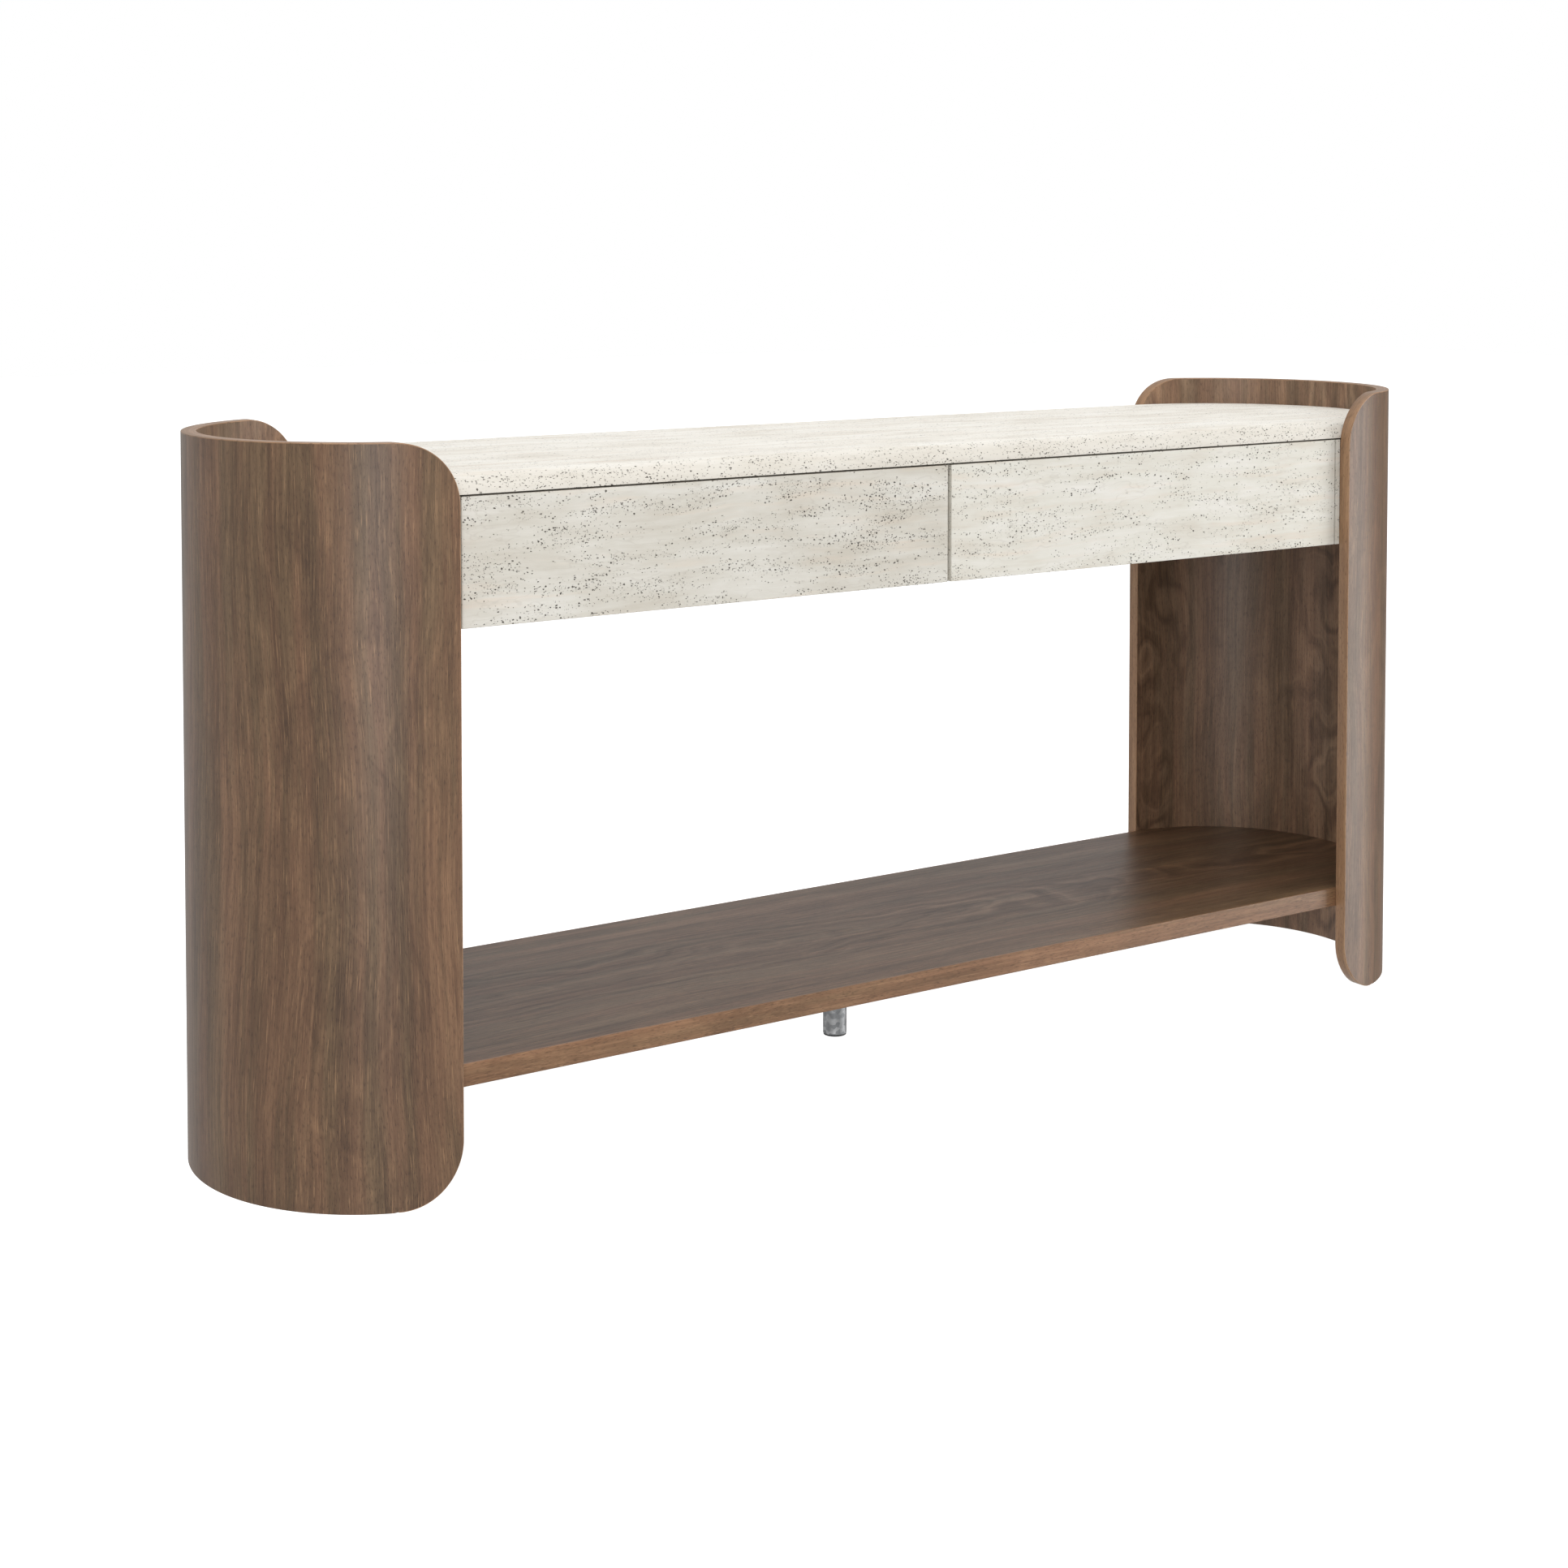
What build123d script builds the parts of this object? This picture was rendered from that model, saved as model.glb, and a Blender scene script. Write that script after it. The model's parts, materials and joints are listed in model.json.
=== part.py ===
from build123d import *
import math
import os

# Console table: two bent half-round side panels carry a case with two drawers and a lower shelf.
# Millimetres, +Z up, the front of the table faces -Y, the floor is Z = 0.

# ---- overall size -------------------------------------------------------
LENGTH = 1634.0
DEPTH = 406.0
HEIGHT = 762.0
PANEL_T = 16.0
PANEL_CORNER_R = 65.0
R_OUT = DEPTH / 2
R_IN = R_OUT - PANEL_T
ARC_X = LENGTH / 2 - R_OUT
PANEL_END_X = 622.7
PANEL_EDGING_T = 1.0

# ---- top and case -------------------------------------------------------
TOP_Z = (706.6, 727.4)
TOP_ROUND_R = 20.0
SUB_TOP_T = 12.0
FACE_T = 20.0
FACE_Z = (572.7, 704.6)
FACE_X = (2.6, 613.9)
FACE_EASE = 0.8
FILLER_X = 615.9
BUMP_GAP = 1.5
FRONT_Y = -R_IN
FACE_BACK_Y = FRONT_Y + FACE_T
CASE_FRONT_Y = FACE_BACK_Y + BUMP_GAP
BACK_T = 12.0
CASE_BACK_Y = R_IN - BACK_T
CASE_BOTTOM_Z = (588.0, 604.0)
CASE_BOARD_T = 18.0

# ---- lower shelf and leg -----------------------------------------------
SHELF_Z = (111.4, 134.8)
SHELF_EASE = 0.8
EDGING_T = 3.0
LEG_XY = (0.0, 34.0)
LEG_R = 14.2
LEG_WALL = 1.5
LEG_PLATE_R = 32.0
LEG_PLATE_T = 3.0
GLIDE_H = 2.0

# ---- drawer boxes -------------------------------------------------------
BOX_T = 13.0
BOX_Z = (610.0, 686.0)
BOX_BACK_Y = 145.0
BOX_BOTTOM_Z = (616.0, 622.0)
GROOVE = 6.0
GROOVE_PLAY = 0.1

# ---- ball-bearing drawer slides, 300 mm, three members ------------------
SLIDE_T = 12.7
SLIDE_Y = (-160.0, 140.0)
SLIDE_Z = 648.0
SHEET = 1.2

# ---- fasteners ----------------------------------------------------------
SCREW_R = 2.0
SCREW_PLAY = 0.05
HEAD_R = 3.6
HEAD_H = 1.3
DOWEL_R = 4.0
DOWEL_L = 34.0
DOWEL_IN_PANEL = 10.0


def block(x0, x1, y0, y1, z0, z1):
    """A box given by its six faces."""
    size = (x1 - x0, y1 - y0, z1 - z0)
    middle = ((x0 + x1) / 2, (y0 + y1) / 2, (z0 + z1) / 2)
    return Pos(*middle) * Box(*size)


def rod(start, end, radius):
    """A round bar between two points."""
    a, b = Vector(*start), Vector(*end)
    plane = Plane(origin=a, z_dir=(b - a))
    bar = Cylinder(radius, (b - a).length, align=(Align.CENTER, Align.CENTER, Align.MIN))
    return plane * bar


def group(solids):
    """Several loose solids in one node."""
    return Compound(children=list(solids))


def save(shape, name):
    export_step(shape, "parts/" + name + ".step")


def round_ended(z0, z1, radius=R_IN):
    """A board with half-round ends that fits between the two side panels."""
    tall = z1 - z0
    board = block(-ARC_X, ARC_X, -radius, radius, z0, z1)
    for side in (-1, 1):
        board += Pos(side * ARC_X, 0, (z0 + z1) / 2) * Cylinder(radius, tall)
    return board


def trimmed(board, front=None, back=None):
    """Cut a board straight at the front and the back."""
    far = 2 * LENGTH
    if front is not None:
        board -= block(-far, far, -far, front, -1, HEIGHT + 1)
    if back is not None:
        board -= block(-far, far, back, far, -1, HEIGHT + 1)
    return board


def long_round(y, z, radius, back, up):
    """What is cut away to round a long edge; back and up say which way the board lies."""
    yc, zc = y + back * radius, z + up * radius
    ys, zs = sorted((y - back, yc)), sorted((z - up, zc))
    far = LENGTH
    return block(-far, far, *ys, *zs) - rod((-far - 1, yc, zc), (far + 1, yc, zc), radius)


# ---- screws and dowels: each is placed once and bored once --------------
def screw(point, direction, length):
    """A pan-head screw with the underside of its head at the point."""
    p, d = Vector(*point), Vector(*direction).normalized()
    shank = rod(p, p + d * length, SCREW_R)
    head = rod(p - d * HEAD_H, p, HEAD_R)
    recess = rod(p - d * HEAD_H, p - d * (HEAD_H - 0.7), 1.2)
    return shank + head - recess


def bore(board, places, length, radius=SCREW_R + SCREW_PLAY):
    """Bore a board for the screws or dowels that start at the given places."""
    for point, direction in places:
        p, d = Vector(*point), Vector(*direction).normalized()
        board -= rod(p - d * 0.01, p + d * length, radius)
    return board


def radial_dowels(z, angles=(-50, 0, 50)):
    """Places for dowels between a round board end and its side panel."""
    places = []
    inner = R_IN + DOWEL_IN_PANEL - DOWEL_L
    for side in (-1, 1):
        for angle in angles:
            c, s = math.cos(math.radians(angle)), math.sin(math.radians(angle))
            point = (side * (ARC_X + inner * c), inner * s, z)
            places.append((point, (side * c, s, 0)))
    return places


def dowel(place):
    p, d = Vector(*place[0]), Vector(*place[1]).normalized()
    return rod(p, p + d * DOWEL_L, DOWEL_R)


SHELF_DOWELS = radial_dowels((SHELF_Z[0] + SHELF_Z[1]) / 2)
CASE_DOWELS = radial_dowels((CASE_BOTTOM_Z[0] + CASE_BOTTOM_Z[1]) / 2)
DOWEL_PLAY = 0.05
BLIND_END = DOWEL_L + 0.5

# ---- side panels --------------------------------------------------------
def side_view(inset):
    """The panel's outline seen from the front: straight free edge, two rounded corners."""
    r, x, far = PANEL_CORNER_R, PANEL_END_X, LENGTH
    diagonal = (r - inset) * math.sqrt(0.5)
    low_mid = (x + r - diagonal, r - diagonal)
    high_mid = (x + r - diagonal, HEIGHT - r + diagonal)
    edges = [
        Line((x + inset, r), (x + inset, HEIGHT - r)),
        ThreePointArc((x + inset, HEIGHT - r), high_mid, (x + r, HEIGHT - inset)),
        Line((x + r, HEIGHT - inset), (far, HEIGHT - inset)),
        Line((far, HEIGHT - inset), (far, 0)),
        Line((far, 0), (x + r, 0)),
        ThreePointArc((x + r, inset), low_mid, (x + inset, r)),
    ]
    if inset:
        edges.append(Line((x + r, 0), (x + r, inset)))
    return make_face(edges)


def panel_blank(inset=0.0):
    """The bent sheet, cut back by the inset at its ends, corners and top but not at the floor."""
    ring = Cylinder(R_OUT, HEIGHT) - Cylinder(R_IN, HEIGHT)
    outline = Plane.XZ * side_view(inset)
    return (Pos(ARC_X, 0, HEIGHT / 2) * ring) & extrude(outline, DEPTH, both=True)


def bent_panel():
    """The veneered sheet and the thin edging that runs round its free edge."""
    sheet = panel_blank(PANEL_EDGING_T)
    return sheet, panel_blank() - sheet


os.makedirs("parts", exist_ok=True)
right_panel, right_edging = bent_panel()
left_panel = mirror(right_panel, about=Plane.YZ)
save(right_edging, "right_panel_edging")
save(mirror(right_edging, about=Plane.YZ), "left_panel_edging")
for places in (SHELF_DOWELS, CASE_DOWELS):
    radius = DOWEL_R + DOWEL_PLAY
    right_panel = bore(right_panel, [p for p in places if p[0][0] > 0], BLIND_END, radius)
    left_panel = bore(left_panel, [p for p in places if p[0][0] < 0], BLIND_END, radius)
save(left_panel, "left_side_panel")
save(right_panel, "right_side_panel")

# ---- top slab with a rounded front nose ---------------------------------
TOP_SCREWS = []
for x in (-560, -320, -60, 60, 320, 560):
    for y in (-120, 130):
        TOP_SCREWS.append(((x, y, TOP_Z[0] - SUB_TOP_T), (0, 0, 1)))

table_top = round_ended(*TOP_Z) - long_round(FRONT_Y, TOP_Z[1], TOP_ROUND_R, 1, -1)
table_top = bore(table_top, TOP_SCREWS, SUB_TOP_T + 10)
save(table_top, "table_top")

sub_top = trimmed(round_ended(TOP_Z[0] - SUB_TOP_T, TOP_Z[0]), CASE_FRONT_Y, CASE_BACK_Y)
sub_top = bore(sub_top, TOP_SCREWS, SUB_TOP_T + 0.1)
save(sub_top, "sub_top")
save(group(screw(p, d, SUB_TOP_T + 9.5) for p, d in TOP_SCREWS), "top_fixing_screws")

# ---- drawer case --------------------------------------------------------
case_bottom = trimmed(round_ended(*CASE_BOTTOM_Z), CASE_FRONT_Y, CASE_BACK_Y)
case_bottom = bore(case_bottom, CASE_DOWELS, DOWEL_L, DOWEL_R + DOWEL_PLAY)
save(case_bottom, "case_bottom")
save(group(dowel(p) for p in CASE_DOWELS), "case_dowels")

RAIL_SCREW_Y = (-140, -10, 120)
CASE_END_IN = PANEL_END_X - CASE_BOARD_T
DIVIDER_HALF = CASE_BOARD_T / 2
BOARD_Z = (CASE_BOTTOM_Z[1], TOP_Z[0] - SUB_TOP_T)


def case_board(x0, x1):
    return block(x0, x1, CASE_FRONT_Y, CASE_BACK_Y, *BOARD_Z)


def rail_screws(x, direction):
    """Places of the three screws along one slide member."""
    return [((x, y, SLIDE_Z), (direction, 0, 0)) for y in RAIL_SCREW_Y]


CASE_RAIL_SCREWS = {}
for side, word in ((-1, "left"), (1, "right")):
    outer_face = side * (CASE_END_IN - SHEET)
    inner_face = side * (DIVIDER_HALF + SHEET)
    CASE_RAIL_SCREWS[word + "_outboard"] = rail_screws(outer_face, side)
    CASE_RAIL_SCREWS[word + "_inboard"] = rail_screws(inner_face, -side)
CASE_SCREW_L = 8.5 + SHEET

divider = case_board(-DIVIDER_HALF, DIVIDER_HALF)
for word, side in (("left", -1), ("right", 1)):
    ends = sorted((side * CASE_END_IN, side * PANEL_END_X))
    board = bore(case_board(*ends), CASE_RAIL_SCREWS[word + "_outboard"], CASE_SCREW_L + 0.2)
    save(board, word + "_case_end")
    divider = bore(divider, CASE_RAIL_SCREWS[word + "_inboard"], CASE_SCREW_L + 0.2)
    strip_x = sorted((side * FILLER_X, side * PANEL_END_X))
    strip = block(*strip_x, FRONT_Y, CASE_FRONT_Y, CASE_BOTTOM_Z[0] - 15.2, FACE_Z[1])
    save(strip & round_ended(0, HEIGHT), word + "_filler_strip")
save(divider, "centre_divider")

back = block(-PANEL_END_X, PANEL_END_X, CASE_BACK_Y, R_IN, CASE_BOTTOM_Z[0], TOP_Z[0])
save(back & round_ended(0, HEIGHT), "case_back")

all_case_screws = [p for places in CASE_RAIL_SCREWS.values() for p in places]
save(group(screw(p, d, CASE_SCREW_L) for p, d in all_case_screws), "case_rail_screws")

bumpers = []
for side in (-1, 1):
    for x in (side * 6.0, side * (CASE_END_IN + 4.5)):
        for z in (625.0, 680.0):
            bumpers.append(rod((x, CASE_FRONT_Y - 1.2, z), (x, CASE_FRONT_Y, z), 2.8))
save(group(bumpers), "drawer_bumpers")

# ---- lower shelf --------------------------------------------------------
LEG_SCREWS = []
for k in range(4):
    a = math.radians(45 + 90 * k)
    x, y = LEG_XY[0] + 24 * math.cos(a), LEG_XY[1] + 24 * math.sin(a)
    LEG_SCREWS.append(((x, y, SHELF_Z[0] - LEG_PLATE_T), (0, 0, 1)))

shelf = round_ended(*SHELF_Z)
for side in (-1, 1):
    ys = sorted((side * R_IN, side * (R_IN - EDGING_T)))
    shelf -= block(-PANEL_END_X, PANEL_END_X, *ys, SHELF_Z[0] - 1, SHELF_Z[1] + 1)
shelf = bore(shelf, SHELF_DOWELS, DOWEL_L, DOWEL_R + DOWEL_PLAY)
shelf = bore(shelf, LEG_SCREWS, LEG_PLATE_T + 14)
save(shelf, "lower_shelf")
front_strip = block(-PANEL_END_X, PANEL_END_X, FRONT_Y, FRONT_Y + EDGING_T, *SHELF_Z)
front_strip &= round_ended(*SHELF_Z)
for z, up in ((SHELF_Z[0], 1), (SHELF_Z[1], -1)):
    front_strip -= long_round(FRONT_Y, z, SHELF_EASE, 1, up)
save(front_strip, "shelf_front_edging")
save(mirror(front_strip, about=Plane.XZ), "shelf_back_edging")
save(group(dowel(p) for p in SHELF_DOWELS), "shelf_dowels")

# ---- centre leg ---------------------------------------------------------
lx, ly = LEG_XY
plate_z = SHELF_Z[0] - LEG_PLATE_T
tube = rod((lx, ly, GLIDE_H), (lx, ly, plate_z), LEG_R)
tube -= rod((lx, ly, GLIDE_H - 1), (lx, ly, plate_z + 1), LEG_R - LEG_WALL)
save(tube, "centre_leg")
plate = rod((lx, ly, plate_z), (lx, ly, SHELF_Z[0]), LEG_PLATE_R)
save(bore(plate, LEG_SCREWS, LEG_PLATE_T + 0.1), "leg_mounting_plate")
save(group(screw(p, d, LEG_PLATE_T + 13.5) for p, d in LEG_SCREWS), "leg_plate_screws")
glide = rod((lx, ly, 0), (lx, ly, GLIDE_H), LEG_R - 0.5)
glide += rod((lx, ly, GLIDE_H), (lx, ly, 14), LEG_R - LEG_WALL - 0.05)
save(glide, "leg_glide")


# ---- drawer slides ------------------------------------------------------
def channel(x_web, toward, reach, half_high):
    """A C-shaped slide member; its web is at x_web and its lips reach toward one side."""
    y0, y1 = SLIDE_Y
    xs = sorted((x_web, x_web + toward * reach))
    body = block(*xs, y0, y1, SLIDE_Z - half_high, SLIDE_Z + half_high)
    hollow = sorted((x_web + toward * SHEET, x_web + toward * (reach + 1)))
    inside = half_high - SHEET
    return body - block(*hollow, y0 - 1, y1 + 1, SLIDE_Z - inside, SLIDE_Z + inside)


def slide_members(case_face, toward):
    """The case, middle and drawer members of one slide, from its case face inward."""
    case_rail = channel(case_face, toward, 9.5, 22.5)
    middle_rail = channel(case_face + toward * 4.0, toward, 6.6, 18.0)
    drawer_rail = channel(case_face + toward * SLIDE_T, -toward, 6.3, 13.0)
    return case_rail, middle_rail, drawer_rail


# ---- drawers ------------------------------------------------------------
def make_drawer(word, side):
    """One drawer: stone-look face, wooden box, slides, screws. side is -1 left, 1 right."""
    faces = {"inboard": side * DIVIDER_HALF, "outboard": side * CASE_END_IN}
    box_x = {}
    for place, case_face in faces.items():
        toward = side if place == "inboard" else -side
        box_face = case_face + toward * SLIDE_T
        box_x[place] = box_face
        case_rail, middle_rail, drawer_rail = slide_members(case_face, toward)
        label = word + "_" + place
        case_rail = bore(case_rail, CASE_RAIL_SCREWS[label], SHEET + 0.1)
        save(case_rail, label + "_case_rail")
        save(middle_rail, label + "_middle_rail")
        screws = rail_screws(box_face - toward * SHEET, toward)
        save(bore(drawer_rail, screws, SHEET + 0.1), label + "_drawer_rail")
        side_board = block(
            *sorted((box_face, box_face + toward * BOX_T)), FACE_BACK_Y, BOX_BACK_Y, *BOX_Z
        )
        side_board = bore(side_board, screws, SHEET + 9.2)
        groove_x = sorted((box_face + toward * (BOX_T - GROOVE), box_face + toward * (BOX_T + 1)))
        side_board -= bottom_groove(groove_x)
        save(side_board, word + "_drawer_" + place + "_side")
        box_x[place + "_screws"] = [screw(p, d, SHEET + 9.0) for p, d in screws]
    save(group(box_x["inboard_screws"] + box_x["outboard_screws"]), word + "_drawer_rail_screws")

    x0, x1 = sorted((box_x["inboard"], box_x["outboard"]))
    x0, x1 = x0 + BOX_T, x1 - BOX_T
    inner_front = block(x0, x1, FACE_BACK_Y, FACE_BACK_Y + BOX_T, *BOX_Z)
    rear = block(x0, x1, BOX_BACK_Y - BOX_T, BOX_BACK_Y, *BOX_Z)
    face_screws = []
    for x in (x0 + 60, (2 * x0 + x1) / 3, (x0 + 2 * x1) / 3, x1 - 60):
        face_screws.append(((x, FACE_BACK_Y + BOX_T, 655.0), (0, -1, 0)))
    inner_front = bore(inner_front, face_screws, BOX_T + 0.1)
    all_x = (x0 - GROOVE, x1 + GROOVE)
    save(inner_front - bottom_groove(all_x), word + "_drawer_inner_front")
    save(rear - bottom_groove(all_x), word + "_drawer_back")
    bottom = block(
        x0 - GROOVE + GROOVE_PLAY, x1 + GROOVE - GROOVE_PLAY,
        GROOVE_Y[0] + GROOVE_PLAY, GROOVE_Y[1] - GROOVE_PLAY,
        BOX_BOTTOM_Z[0], BOX_BOTTOM_Z[1],
    )
    save(bottom, word + "_drawer_bottom")

    face = block(*sorted((side * FACE_X[0], side * FACE_X[1])), FRONT_Y, FACE_BACK_Y, *FACE_Z)
    face = fillet(face.edges(), FACE_EASE)
    face = bore(face, face_screws, BOX_T + 12.5)
    save(face, word + "_drawer_face")
    save(group(screw(p, d, BOX_T + 12.0) for p, d in face_screws), word + "_drawer_face_screws")


GROOVE_Y = (FACE_BACK_Y + BOX_T - GROOVE, BOX_BACK_Y - BOX_T + GROOVE)


def bottom_groove(xs):
    z0, z1 = BOX_BOTTOM_Z
    return block(*xs, *GROOVE_Y, z0 - 0.02, z1 + 0.02)


make_drawer("left", -1)
make_drawer("right", 1)
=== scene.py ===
"""Console table: bent walnut sides, a travertine top, two drawers and a low walnut shelf."""
import json
import math

import bpy
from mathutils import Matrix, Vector

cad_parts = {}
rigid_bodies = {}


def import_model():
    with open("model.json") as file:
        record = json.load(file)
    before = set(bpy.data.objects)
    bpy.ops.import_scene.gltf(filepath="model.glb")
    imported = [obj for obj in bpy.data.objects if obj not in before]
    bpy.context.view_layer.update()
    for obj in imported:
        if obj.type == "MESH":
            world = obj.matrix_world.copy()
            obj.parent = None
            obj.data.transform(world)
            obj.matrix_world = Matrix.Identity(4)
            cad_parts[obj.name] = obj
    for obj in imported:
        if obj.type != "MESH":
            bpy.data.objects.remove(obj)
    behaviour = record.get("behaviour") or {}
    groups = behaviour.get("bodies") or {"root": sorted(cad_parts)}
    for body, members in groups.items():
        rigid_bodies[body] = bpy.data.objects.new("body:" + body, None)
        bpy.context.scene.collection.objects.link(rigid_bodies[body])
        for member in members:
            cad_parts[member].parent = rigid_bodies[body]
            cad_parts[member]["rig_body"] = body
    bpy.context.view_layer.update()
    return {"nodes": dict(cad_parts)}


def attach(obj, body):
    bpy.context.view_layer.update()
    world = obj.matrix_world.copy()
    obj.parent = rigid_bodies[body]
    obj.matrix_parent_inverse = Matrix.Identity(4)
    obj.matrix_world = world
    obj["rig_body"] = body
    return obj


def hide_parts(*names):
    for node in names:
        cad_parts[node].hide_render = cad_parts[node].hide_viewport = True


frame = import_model()
nodes = frame["nodes"]
MM = 0.001

# ---------------------------------------------------------------- camera
EYE = (-1.7963, -2.4741, 0.9722)
LOOK_DOWN, LOOK_RIGHT = math.radians(2.615), math.radians(34.135)
camera = bpy.data.objects.new("camera", bpy.data.cameras.new("camera"))
bpy.context.scene.collection.objects.link(camera)
camera.location = EYE
camera.rotation_euler = (math.pi / 2 - LOOK_DOWN, 0, -LOOK_RIGHT)
camera.data.sensor_width = 36
camera.data.lens = 59.46
camera.data.shift_x, camera.data.shift_y = 0.0096, -0.28
camera.data.clip_start = 0.05
bpy.context.scene.camera = camera
bpy.context.scene.view_settings.view_transform = "Standard"


# ---------------------------------------------------------------- node helper
def shade(hex_code):
    """An sRGB hex colour as the linear colour a shader takes."""
    parts = [int(hex_code[i:i + 2], 16) / 255 for i in (1, 3, 5)]
    return (*[p / 12.92 if p <= 0.04045 else ((p + 0.055) / 1.055) ** 2.4 for p in parts], 1.0)


def add(tree, kind, wires=None, stops=(), **settings):
    """Adds one node: its settings, the values or links of its sockets, and its ramp's stops."""
    node = tree.nodes.new(kind)
    for name, value in settings.items():
        setattr(node, name, value)
    for key, value in (wires or {}).items():
        sockets = [s for s in node.inputs if not s.is_unavailable]
        if isinstance(key, int):
            socket = sockets[key]
        else:
            socket = next(s for s in sockets if s.name == key)
        if isinstance(value, bpy.types.Node):
            value = next(s for s in value.outputs if not s.is_unavailable)
        if isinstance(value, bpy.types.NodeSocket):
            tree.links.new(value, socket)
        else:
            socket.default_value = value
    if stops:
        band = node.color_ramp.elements
        while len(band) < len(stops):
            band.new(1.0)
        for element, (place, colour) in zip(band, stops):
            element.position = place
            element.color = shade(colour)
    return node


def new_finish(name, **surface):
    """A named material, its tree, and its surface shader with the even values set on it."""
    finish = bpy.data.materials.new(name)
    finish.use_nodes = True
    tree = finish.node_tree
    tree.nodes.clear()
    skin = add(tree, "ShaderNodeBsdfPrincipled", surface)
    add(tree, "ShaderNodeOutputMaterial", {"Surface": skin})
    return finish, tree, skin


def dress(tree, skin, colour, roughness, height, depth):
    """Joins a pattern's colour, roughness and relief (depth in metres) to the shader."""
    relief = add(tree, "ShaderNodeBump", {"Height": height, "Distance": depth, "Strength": 1.0})
    for pattern, socket in ((colour, "Base Color"), (roughness, "Roughness"), (relief, "Normal")):
        made = next(s for s in pattern.outputs if not s.is_unavailable)
        tree.links.new(made, skin.inputs[socket])


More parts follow.
